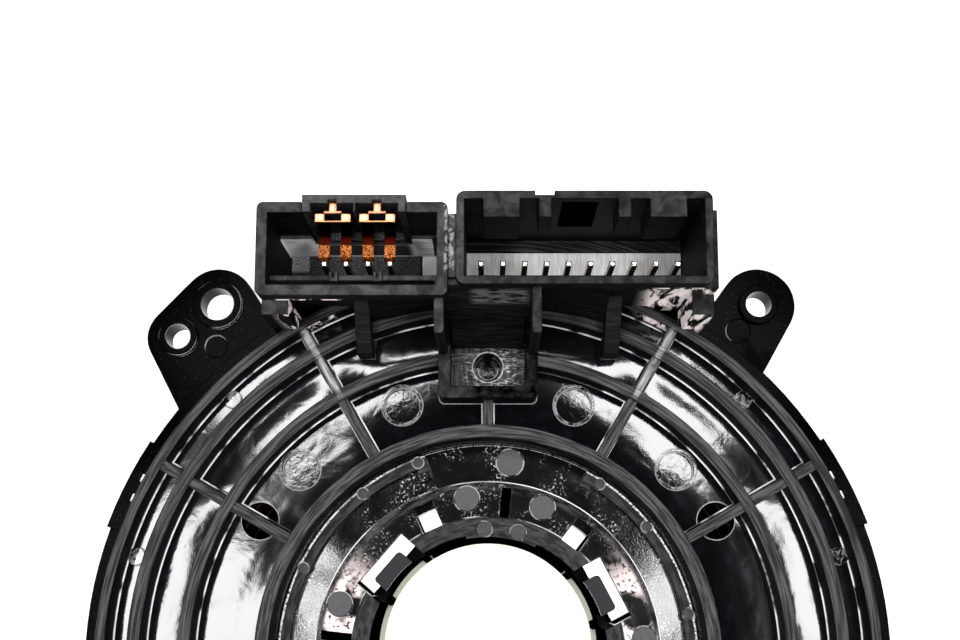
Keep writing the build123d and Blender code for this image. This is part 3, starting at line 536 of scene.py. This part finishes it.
def make_plate_finish():
    f = Finish("black_plate", IOR=1.5)
    on_floor = f.z.below(FLOOR_TOP + 0.4, 0.08) * f.radius.below(RIM + 0.2, 0.2)
    on_top = f.facing_up.above(*UPWARDS) * (1 - on_floor)
    on_socket = f.z.above(SOCKET_FOOT, 0.1)
    on_stud = on_floor * f.z.above(FLOOR_TOP + 0.15, 0.05) * f.facing_up.above(*UPWARDS)
    on_link = f.x.between(-4.9, -3.8, 0.1) * f.y.above(43.0, 0.1) * on_top  # between the sockets
    fine = f.noise(3.4, 3)
    mottle = f.noise(1.3, 4, distortion=0.8).above(0.52, 0.07)
    cloud = f.noise(0.5, 6, distortion=0.6, roughness=0.6).above(0.5, 0.22)
    streaks = rib_streaks(f)
    edge = f.edges()
    crease_highlights = painted_crease_highlights(f)
    step = step_shine(f)

    base = plate_colours(f, on_top, on_floor, on_socket, streaks, cloud)
    base = f.mix(on_stud * mottle, base, (0.22, 0.21, 0.22))
    base = f.mix(dimple_rim_highlights(f, edge), base, (0.9, 0.9, 0.92))
    base = f.mix(lock_floor_glints(f), base, (0.75, 0.74, 0.76))
    # Painted highlights, pink and white, in the creases of the skirts.
    base = f.mix(crease_highlights, base, f.mix(fine.above(0.46, 0.05), (1.0, 0.66, 0.62), WHITE))
    base = f.mix(step, base, WHITE)
    base = f.mix(panel_shine(f), base, (0.22, 0.22, 0.22))
    base = f.mix(spoke_gleam(f) * on_top, base, (0.55, 0.54, 0.55))
    base = f.mix(on_link * mottle, base, (0.35, 0.34, 0.35))

    matt = 0.5 + 0.12 * on_top * on_socket + 0.1 * fine - 0.1 * on_top * (1 - on_socket)
    roughness = on_floor * 0.09 + (1 - on_floor) * matt
    matt_height = 0.03 * fine + 0.3 * crease_highlights + 0.1 * step
    height = on_floor * floor_height(f) + (1 - on_floor) * matt_height + leaned(f)

    dark_tops = on_top * (1 - on_socket) * (streaks.below(0.5, 0.14) * 0.45 + 0.3)
    lock_frame = f.z.below(33.0, 0.2) * 0.3
    dark_mouths = on_top * on_socket * (cloud * -0.25 + 0.5 + 0.25 * f.x.above(-2.0, 1.0) + lock_frame)
    # Painted shade on the walls that do not face up, and on the rounded edges.
    painted_wall_shade = (1 - on_top) * (1 - on_floor) * (1 - crease_highlights) * (1 - step) * 0.6
    painted_edge_shade = edge * (1 - on_floor) * (1 - crease_highlights) * (1 - step) * 0.35
    shade = latch_window_shade(f) + dark_tops + dark_mouths + painted_wall_shade + painted_edge_shade
    return f.wear(shade, Base_Color=base, Roughness=roughness, Normal=f.bump(height))


plate_finish = make_plate_finish()


# %% Painted highlights on the feet of the ribs
def make_foot_finish():
    """A painted highlight in patches along the foot, and black elsewhere."""
    f = Finish("painted_foot_highlight", IOR=1.5)
    painted_sheen = f.noise(0.3, 3).above(0.46, 0.07)
    base = f.mix(painted_sheen, (0.004, 0.004, 0.005), (0.95, 0.94, 0.95))
    return f.wear(Base_Color=base, Roughness=0.35 - 0.1 * painted_sheen)


foot_finish = make_foot_finish()

# %% [markdown]
# ## The other black mouldings
# The case, the rotor and the small inserts are the same black plastic from other tools, each with
# its own gloss and grain. The case is the blackest. The rotor is speckled with glass fibre, and
# the ejector pins left matt grey discs on it.
#
# Such marks could be painted on a picture and wrapped round the piece. Rules of place and noise are
# used instead, because they stay sharp close up and move with the sizes named here.

# %% Case finish
EAR_START = 50.5  # the ears reach out past this radius


def make_case_finish():
    f = Finish("black_case", IOR=1.5, Specular_IOR_Level=0.07)
    up = f.facing_up.above(*UPWARDS)
    specks = f.noise(4.5, 2).above(0.7, 0.03)
    scuffs = f.noise(0.25, 4, f.around(20)).above(0.64, 0.05)
    highlight_patches = f.noise(0.13, 2).above(0.52, 0.05)
    # Painted highlights, in patches, on the edges of the ears' tops.
    rim_highlights = f.edges(0.16) * up * highlight_patches * f.radius.above(EAR_START, 0.2)
    base = f.mix(specks, INK, (0.05, 0.05, 0.05))
    base = f.mix(scuffs, base, (0.012, 0.012, 0.013))
    base = f.mix(rim_highlights, base, (0.8, 0.8, 0.82))
    # Painted shade over the up-facing faces, so that they do not mirror the boxes.
    shade = up * (1 - rim_highlights) * (0.92 - 0.3 * specks)
    height = 0.002 * f.noise(1.5, 3)
    return f.wear(shade, Base_Color=base, Roughness=0.14 + 0.2 * scuffs, Normal=f.bump(height))


case_finish = make_case_finish()

# %% Marks on the rotor
ROTOR_REST = -6.65  # degrees, how the rotor stands turned at rest
RING_MARKS = [(19.1, angle, 1.55) for angle in (-77.8, -14.0, 14.5, 78.1, 120, -120, 165, -165)]
OTHER_MARKS = [(23.7, 0, 1.7), (23.7, 180, 1.7), (15.2, -7.5, 1.0), (15.2, 8.5, 1.0)]
RAIL_MARKS = [(25.0, angle, 0.7) for angle in (-72, -45, -27, 27, 45, 72)]
MARKS = RING_MARKS + OTHER_MARKS + RAIL_MARKS  # radius, degrees from the rotor's front, and size


def rotor_marks(f):
    """The discs that the ejector pins left, and painted highlights on the thin rims round them."""
    discs, rim_highlights = 0.0, 0.0
    for radius, angle, size in MARKS:
        turn = math.radians(angle + ROTOR_REST)
        x, y = -radius * math.sin(turn), radius * math.cos(turn)
        discs = discs + f.spot(x, y, size - 0.05)
        rim_highlights = rim_highlights + f.spot(x, y, size + 0.08) - f.spot(x, y, size - 0.06)
    return discs, rim_highlights


print(len(MARKS), "marks on the rotor")

# %% Gloss and glints of the rotor
STEP, LEDGE = 21.1, 16.7  # outer radius of the raised ring and of the ledge
TOPS, RAILS, TONGUES = 25.5, 26.9, 27.3  # heights over which these lie
GLINT = (0.95, 0.93, 0.93)


def facing_sideways(f):
    """1 in the parts of a ring that lie towards -X and +X, and 0 towards +Y and -Y."""
    return (f.x / f.radius * (f.x / f.radius)).above(0.72, 0.16)


def rotor_gloss_colours(f, raised, sideways, patches, lathe):
    """The speckled flange, and the raised ring with a pale painted highlight at its sides."""
    fibres = f.noise(3.2, 3, distortion=0.8).above(0.62, 0.03)
    clusters = fibres * patches.above(0.55, 0.05)
    outer_black = f.mix(clusters, (0.0006, 0.0006, 0.001), (0.5, 0.48, 0.49))
    ring_edge = f.radius.above(20.0, 0.5) * lathe
    ring_black = f.mix(ring_edge, (0.002, 0.002, 0.0025), (0.05, 0.048, 0.05))
    ring_black = f.mix(clusters * 0.8, ring_black, (0.35, 0.33, 0.34))
    # Painted highlight, in patches, on the sides of the raised ring.
    painted_sheen = sideways * patches.above(0.47, 0.06) * f.noise(2.2, 4).above(0.4, 0.08)
    ring_black = f.mix(painted_sheen * f.radius.below(20.3, 0.3), ring_black, (0.95, 0.80, 0.79))
    return f.mix(raised, outer_black, ring_black)


def glinting_steps(f, fine):
    """Bright lines at the steps of the raised ring, at the feet of the rails and at the ledge."""
    steps = f.radius.between(STEP - 0.1, STEP + 0.12, 0.04) * f.noise(0.12, 2).above(0.4, 0.08)
    rail_foot = f.radius.between(25.65, 26.2, 0.04) * f.z.below(RAILS, 0.1) * fine.above(0.42, 0.06)
    inner_step = f.radius.between(LEDGE - 0.05, LEDGE + 0.12, 0.03) * f.noise(0.3, 2).above(0.5, 0.08) * 0.7
    return steps + rail_foot + inner_step


print("raised ring from", LEDGE, "to", STEP, "mm")

# %% Rotor finish
TUBE_BORE = 14.75


def make_rotor_finish():
    f = Finish("black_rotor", IOR=1.5)
    on_top = f.facing_up.above(*UPWARDS) * f.z.above(TOPS, 0.1)
    rail = f.z.above(RAILS, 0.05) * f.radius.above(23.5, 0.1)
    raised = f.radius.between(LEDGE + 0.02, STEP, 0.04)
    ledge = f.radius.below(LEDGE, 0.04)
    tongue = ledge * f.z.above(TONGUES, 0.03)
    fine = f.noise(4.0, 3)
    lathe = f.noise(2.2, 4, f.around(5)).above(0.5, 0.14)
    patches = f.noise(0.28, 4, distortion=0.5)
    sideways = facing_sideways(f)
    discs, rim_highlights = rotor_marks(f)

    base = rotor_gloss_colours(f, raised, sideways, patches, lathe)
    base = f.mix(ledge + rail, base, f.mix(lathe, (0.003, 0.003, 0.003), (0.035, 0.034, 0.035)))
    base = f.mix(tongue, base, (0.010, 0.013, 0.016))
    # Painted glints in patches along the rail's outer edge.
    rail_glint_patches = f.noise(0.12, 2).above(0.42, 0.05)
    rail_edge = rail * f.radius.above(25.35, 0.04) * rail_glint_patches * fine.above(0.44, 0.06)
    base = f.mix(rail_edge, base, GLINT)
    base = f.mix(discs * on_top, base, f.mix(fine, (0.02, 0.02, 0.022), (0.09, 0.09, 0.095)))
    # Painted highlights, in patches, on the rims round the marks.
    base = f.mix(rim_highlights * on_top * f.noise(0.6, 2).above(0.5, 0.06), base, (0.5, 0.48, 0.48))
    base = f.mix(glinting_steps(f, fine) * (1 - rail) * (1 - tongue), base, GLINT)
    base = f.mix(on_top, (0.001, 0.001, 0.0015), base)

    matt = (ledge + rail + discs) * on_top
    roughness = (1 - matt) * (0.07 + 0.12 * patches) + matt * 0.7
    dished = (f.radius - 22.3) * f.radius.between(STEP + 0.05, 24.3, 0.05) * sideways * -0.095
    height = (1 - matt) * (dished + 0.25 * f.noise(0.14, 1) + 0.012 * f.noise(1.3, 3)) + 0.012 * fine

    # The slot in the raised ring and the walls of the bore are painted black as shade.
    slot = raised * f.z.between(26.5, 27.2, 0.1)
    bore = f.radius.below(TUBE_BORE, 0.05) * f.z.below(27.2, 0.1) * (1 - on_top)
    dark_matt = on_top * (ledge + rail) * (1 - discs) * (1 - tongue) * (1 - rail_edge) * (0.45 - 0.2 * lathe)
    shade = slot + bore + (dark_matt + 0.3 * on_top * tongue)
    return f.wear(shade, Base_Color=base, Roughness=roughness, Normal=f.bump(height))


rotor_finish = make_rotor_finish()

# %% Insert finish
CARRIER_TOP = 45.5
GRAINY_PAD = {"x": (-24.8, -22.4, 0.05), "y": (47.2, 49.4, 0.05)}  # left of the airbag pins


def make_insert_finish():
    f = Finish("black_insert", IOR=1.5)
    spark = f.noise(5.0, 3)
    blotch = f.noise(1.7, 4, distortion=0.5).above(0.55, 0.2)
    carrier_top = f.z.above(CARRIER_TOP, 0.1)
    up = f.facing_up.above(*UPWARDS)
    pad = f.inside(**GRAINY_PAD) * up
    floor_black = f.mix(spark.above(0.54, 0.08), (0.001, 0.001, 0.0015), (0.10, 0.10, 0.11))
    base = f.mix(carrier_top, floor_black, f.mix(blotch, (0.008, 0.008, 0.009), (0.05, 0.05, 0.05)))
    base = f.mix(pad, base, f.mix(spark.above(0.5, 0.1), (0.12, 0.12, 0.125), (0.62, 0.62, 0.64)))
    shade = (1 - up) * 0.5 + f.edges() * up * 0.4
    return f.wear(shade, Base_Color=base, Roughness=0.5 + 0.2 * spark, Normal=f.bump(0.05 * spark))


insert_finish = make_insert_finish()

# %% [markdown]
# ## Pale plastics, film and metal
# The lead block is light grey, with flow lines across it. The collar is natural cream acetal. The
# ribbon is film round flat copper tracks, which show in bands, and the slip sheets are hazy film.
# The clips are bare copper alloy, painted darker away from the light as shade, and the pins are tinned.
# One even colour each would do from afar, but they are seen close up in the sockets, so each gets
# a rule or two of its own.

# %% Pale plastics
SWITCH_START = -3.0  # the switch socket is right of this, and the airbag socket left of it


def make_lead_finish():
    f = Finish("grey_lead_block", IOR=1.5)
    under_switch = f.x.above(SWITCH_START, 0.2)
    streaks = f.noise(1.0, 4, f.combine(f.x * 5, f.y * 0.5, f.z)) * under_switch
    base = f.mix(streaks.above(0.5, 0.2), (0.95, 0.94, 0.93), (0.68, 0.67, 0.66))
    shade = under_switch * (0.12 + f.y.below(44.8, 1.0) * 0.35)
    return f.wear(shade, Base_Color=base, Roughness=0.5 + 0.1 * streaks, Normal=f.bump(0.015 * streaks))


def make_cream_finish():
    f = Finish("cream_collar", IOR=1.48, Subsurface_Weight=0.1, Subsurface_Scale=0.001)
    mottle = f.noise(0.5, 3)
    base = f.mix(mottle, (0.66, 0.65, 0.52), (0.80, 0.79, 0.68))
    return f.wear(Base_Color=base, Roughness=0.4 + 0.1 * mottle, Normal=f.bump(0.02 * f.noise(3, 2)))


lead_finish, cream_finish = make_lead_finish(), make_cream_finish()


# %% Ribbon and slip sheets
def make_ribbon_finish():
    f = Finish("ribbon_film", IOR=1.55, Specular_IOR_Level=0.2)
    bands = f.noise(1.0, 1, f.combine(0.0, 0.0, f.z * 2.2)).above(0.5, 0.04)
    base = f.mix(bands, (0.006, 0.004, 0.003), (0.05, 0.022, 0.010))
    return f.wear(Base_Color=base, Roughness=0.4 + 0.1 * f.noise(1, 2), Normal=f.bump(0.01 * f.noise(2, 2)))


def make_slip_finish():
    f = Finish("slip_film", IOR=1.45, Specular_IOR_Level=0.2)
    haze = f.noise(0.4, 3)
    base = f.mix(haze, (0.010, 0.010, 0.011), (0.03, 0.03, 0.031))
    return f.wear(Base_Color=base, Roughness=0.35 + 0.2 * haze, Normal=f.bump(0.01 * haze))


ribbon_finish, slip_finish = make_ribbon_finish(), make_slip_finish()

# %% Metals
CLIP_CENTRES = [sum(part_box(f"shorting_clip_{count}")[end].x for end in (0, 1)) / 2 / MM for count in (1, 2)]
HEAD_LOW, KNURL_TOP = 44.9, 43.5
HOLE_HALF = 0.95  # half the width of the hole in a clip's head
PIN_TIP = 42.3


def make_copper_finish():
    f = Finish("copper_clip", Metallic=1.0)
    head = f.z.above(HEAD_LOW, 0.1)
    in_hole = 0.0
    for centre in CLIP_CENTRES:
        in_hole = in_hole + f.x.between(centre - HOLE_HALF, centre + HOLE_HALF, 0.05)
    # The back of the head, outside its hole, is painted dark as shade, like the back of the clip.
    bright_head = head * (1 - (1 - in_hole) * f.y.above(49.66, 0.12))
    knurled = f.y.below(46.95, 0.12) * f.z.below(KNURL_TOP, 0.2)
    pits = f.noise(5.2, 2, distortion=1.2)
    grooves = f.mix(pits.above(0.5, 0.05), (0.07, 0.012, 0.003), (0.55, 0.19, 0.055))
    # The clip is painted darker towards the back, to nearly black, as shade.
    painted_shade_copper = f.mix(f.y.above(47.6, 0.6), (0.08, 0.007, 0.003), (0.002, 0.0005, 0.0005))
    stem = f.y.above(49.8, 0.1)
    polished = f.mix(stem, (0.90, 0.55, 0.28), (0.75, 0.38, 0.25))
    head_tone = f.mix(f.edges(0.6, 0.985), polished, (0.40, 0.09, 0.03))
    base = f.mix(bright_head, f.mix(knurled, painted_shade_copper, grooves), head_tone)
    height = 0.10 * pits * knurled + 0.01 * pits
    return f.wear(Base_Color=base, Roughness=0.36 + 0.15 * pits, Normal=f.bump(height))


def make_tin_finish():
    f = Finish("tinned_pin", Metallic=1.0)
    # The pin's body is painted dark as shade, with smears, and its tip is painted bright as a highlight.
    smear_and_shade = f.noise(3.0, 2, f.combine(f.x * 2, f.y * 2, f.z * 0.3))
    tip_highlight = f.z.above(PIN_TIP, 0.1)
    base = f.mix(tip_highlight, f.mix(smear_and_shade, (0.06, 0.035, 0.02), (0.25, 0.18, 0.13)), (0.95, 0.90, 0.80))
    return f.wear(Base_Color=base, Roughness=0.2 + 0.15 * smear_and_shade, Normal=f.bump(0.01 * smear_and_shade))


copper_finish, tin_finish = make_copper_finish(), make_tin_finish()

# %% [markdown]
# ## Dressing the pieces
# The record gives every piece a material slot, so a finish is made once for a slot and worn by all
# the pieces that have it. Dressing them by name would need a longer list, and a new pin would be
# forgotten.

# %% Dress the CAD pieces
FINISHES = {
    "plate_black": plate_finish,
    "case_black": case_finish,
    "rotor_black": rotor_finish,
    "insert_black": insert_finish,
    "lead_grey": lead_finish,
    "cream": cream_finish,
    "ribbon": ribbon_finish,
    "slip_film": slip_finish,
    "copper": copper_finish,
    "tinned_pin": tin_finish,
}
slot_of = {part["node"]: part["material_slot"] for part in frame["record"]["subparts"]}
for name, node in nodes.items():
    node.data.materials.clear()
    node.data.materials.append(FINISHES[slot_of[name]])
print("dressed", len(nodes), "pieces in", len(FINISHES), "finishes")

# %% [markdown]
# ## Fillets at the feet of the ribs
# A moulding tool never leaves a sharp inside corner. Where a rib meets the floor there is a small
# hollow fillet, and it catches the light as a thin bright line. A bevel on the plate itself would
# change a CAD piece, so the fillets are a thin piece of their own that rides with the plate. Round
# a ring it is a short arc spun about the axis, and along a spoke it is the same arc pulled
# straight.

# %% Fillet profile
FILLET = 0.17
FILLET_STEPS = 5


def fillet_profile(bm, corner, outward):
    """A hollow quarter circle at a rib's foot, in the X and Z plane."""
    verts = []
    for step in range(FILLET_STEPS + 1):
        turn = math.radians(90 * step / FILLET_STEPS)
        x = corner + outward * FILLET * (1 - math.sin(turn))
        z = FLOOR_TOP + FILLET * (1 - math.cos(turn))
        verts.append(bm.verts.new((x, 0, z)))
    return verts, [bm.edges.new(pair) for pair in zip(verts, verts[1:])]


print("fillets of", FILLET, "mm")

# %% Fillets round a ring and along a spoke
STEPS_PER_RADIAN = 40


def ring_fillet(bm, radius, outward, angles):
    """Spins the profile round the axis between two angles, counter-clockwise from +X."""
    verts, edges = fillet_profile(bm, radius, outward)
    start, end = (math.radians(angle) for angle in angles)
    bmesh.ops.rotate(bm, verts=verts, matrix=Matrix.Rotation(start, 3, "Z"))
    bmesh.ops.spin(
        bm, geom=verts + edges, axis=(0, 0, 1), cent=(0, 0, 0), angle=end - start,
        steps=round((end - start) * STEPS_PER_RADIAN), use_merge=False,
    )


def spoke_fillet(bm, angle, side, inner, outer, half_width):
    """Pulls the profile straight along one side of a spoke."""
    verts, edges = fillet_profile(bm, half_width, 1)
    if side < 0:
        bmesh.ops.scale(bm, verts=verts, vec=(-1, 1, 1))
    bmesh.ops.translate(bm, verts=verts, vec=(0, inner, 0))
    pulled = bmesh.ops.extrude_edge_only(bm, edges=edges)["geom"]
    ends = [item for item in pulled if isinstance(item, bmesh.types.BMVert)]
    bmesh.ops.translate(bm, verts=ends, vec=(0, outer - inner, 0))
    bmesh.ops.rotate(bm, verts=verts + ends, matrix=Matrix.Rotation(math.radians(angle), 3, "Z"))


print("a full ring would take", round(math.tau * STEPS_PER_RADIAN), "steps")

# %% Fillets
SPOKES, SPOKE_HALF = 12, 0.65  # their number, and half their width
LOCK_BOX_FRONT = 31.5  # the spoke at +Y ends at the box's foot
BESIDE_LOCK_BOX = (97, 443)  # degrees, so that the rings stop short of the box at +Y
END_GAP = 0.05

fillet_bm = bmesh.new()
for inner, outer in CELLS:
    ring_fillet(fillet_bm, inner, 1, BESIDE_LOCK_BOX)
    ring_fillet(fillet_bm, outer, -1, BESIDE_LOCK_BOX)
    for count in range(SPOKES):
        reach = outer if count else min(outer, LOCK_BOX_FRONT)
        for side in (-1, 1):
            if reach > inner:
                start, end = inner + END_GAP, reach - END_GAP
                spoke_fillet(fillet_bm, count * 360 / SPOKES, side, start, end, SPOKE_HALF)
bmesh.ops.scale(fillet_bm, verts=fillet_bm.verts, vec=(MM, MM, MM))
bmesh.ops.recalc_face_normals(fillet_bm, faces=fillet_bm.faces)
for face in fillet_bm.faces:
    face.smooth = True
    if face.normal.z < 0:
        face.normal_flip()
fillet_bm.verts.index_update()
fillet_bm.faces.sort(key=lambda face: min(vert.index for vert in face.verts))  # the same order each run
print("fillets", len(fillet_bm.faces), "faces")
rib_fillets = link_mesh("rib_foot_fillets", fillet_bm, foot_finish)
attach(rib_fillets, "stator")
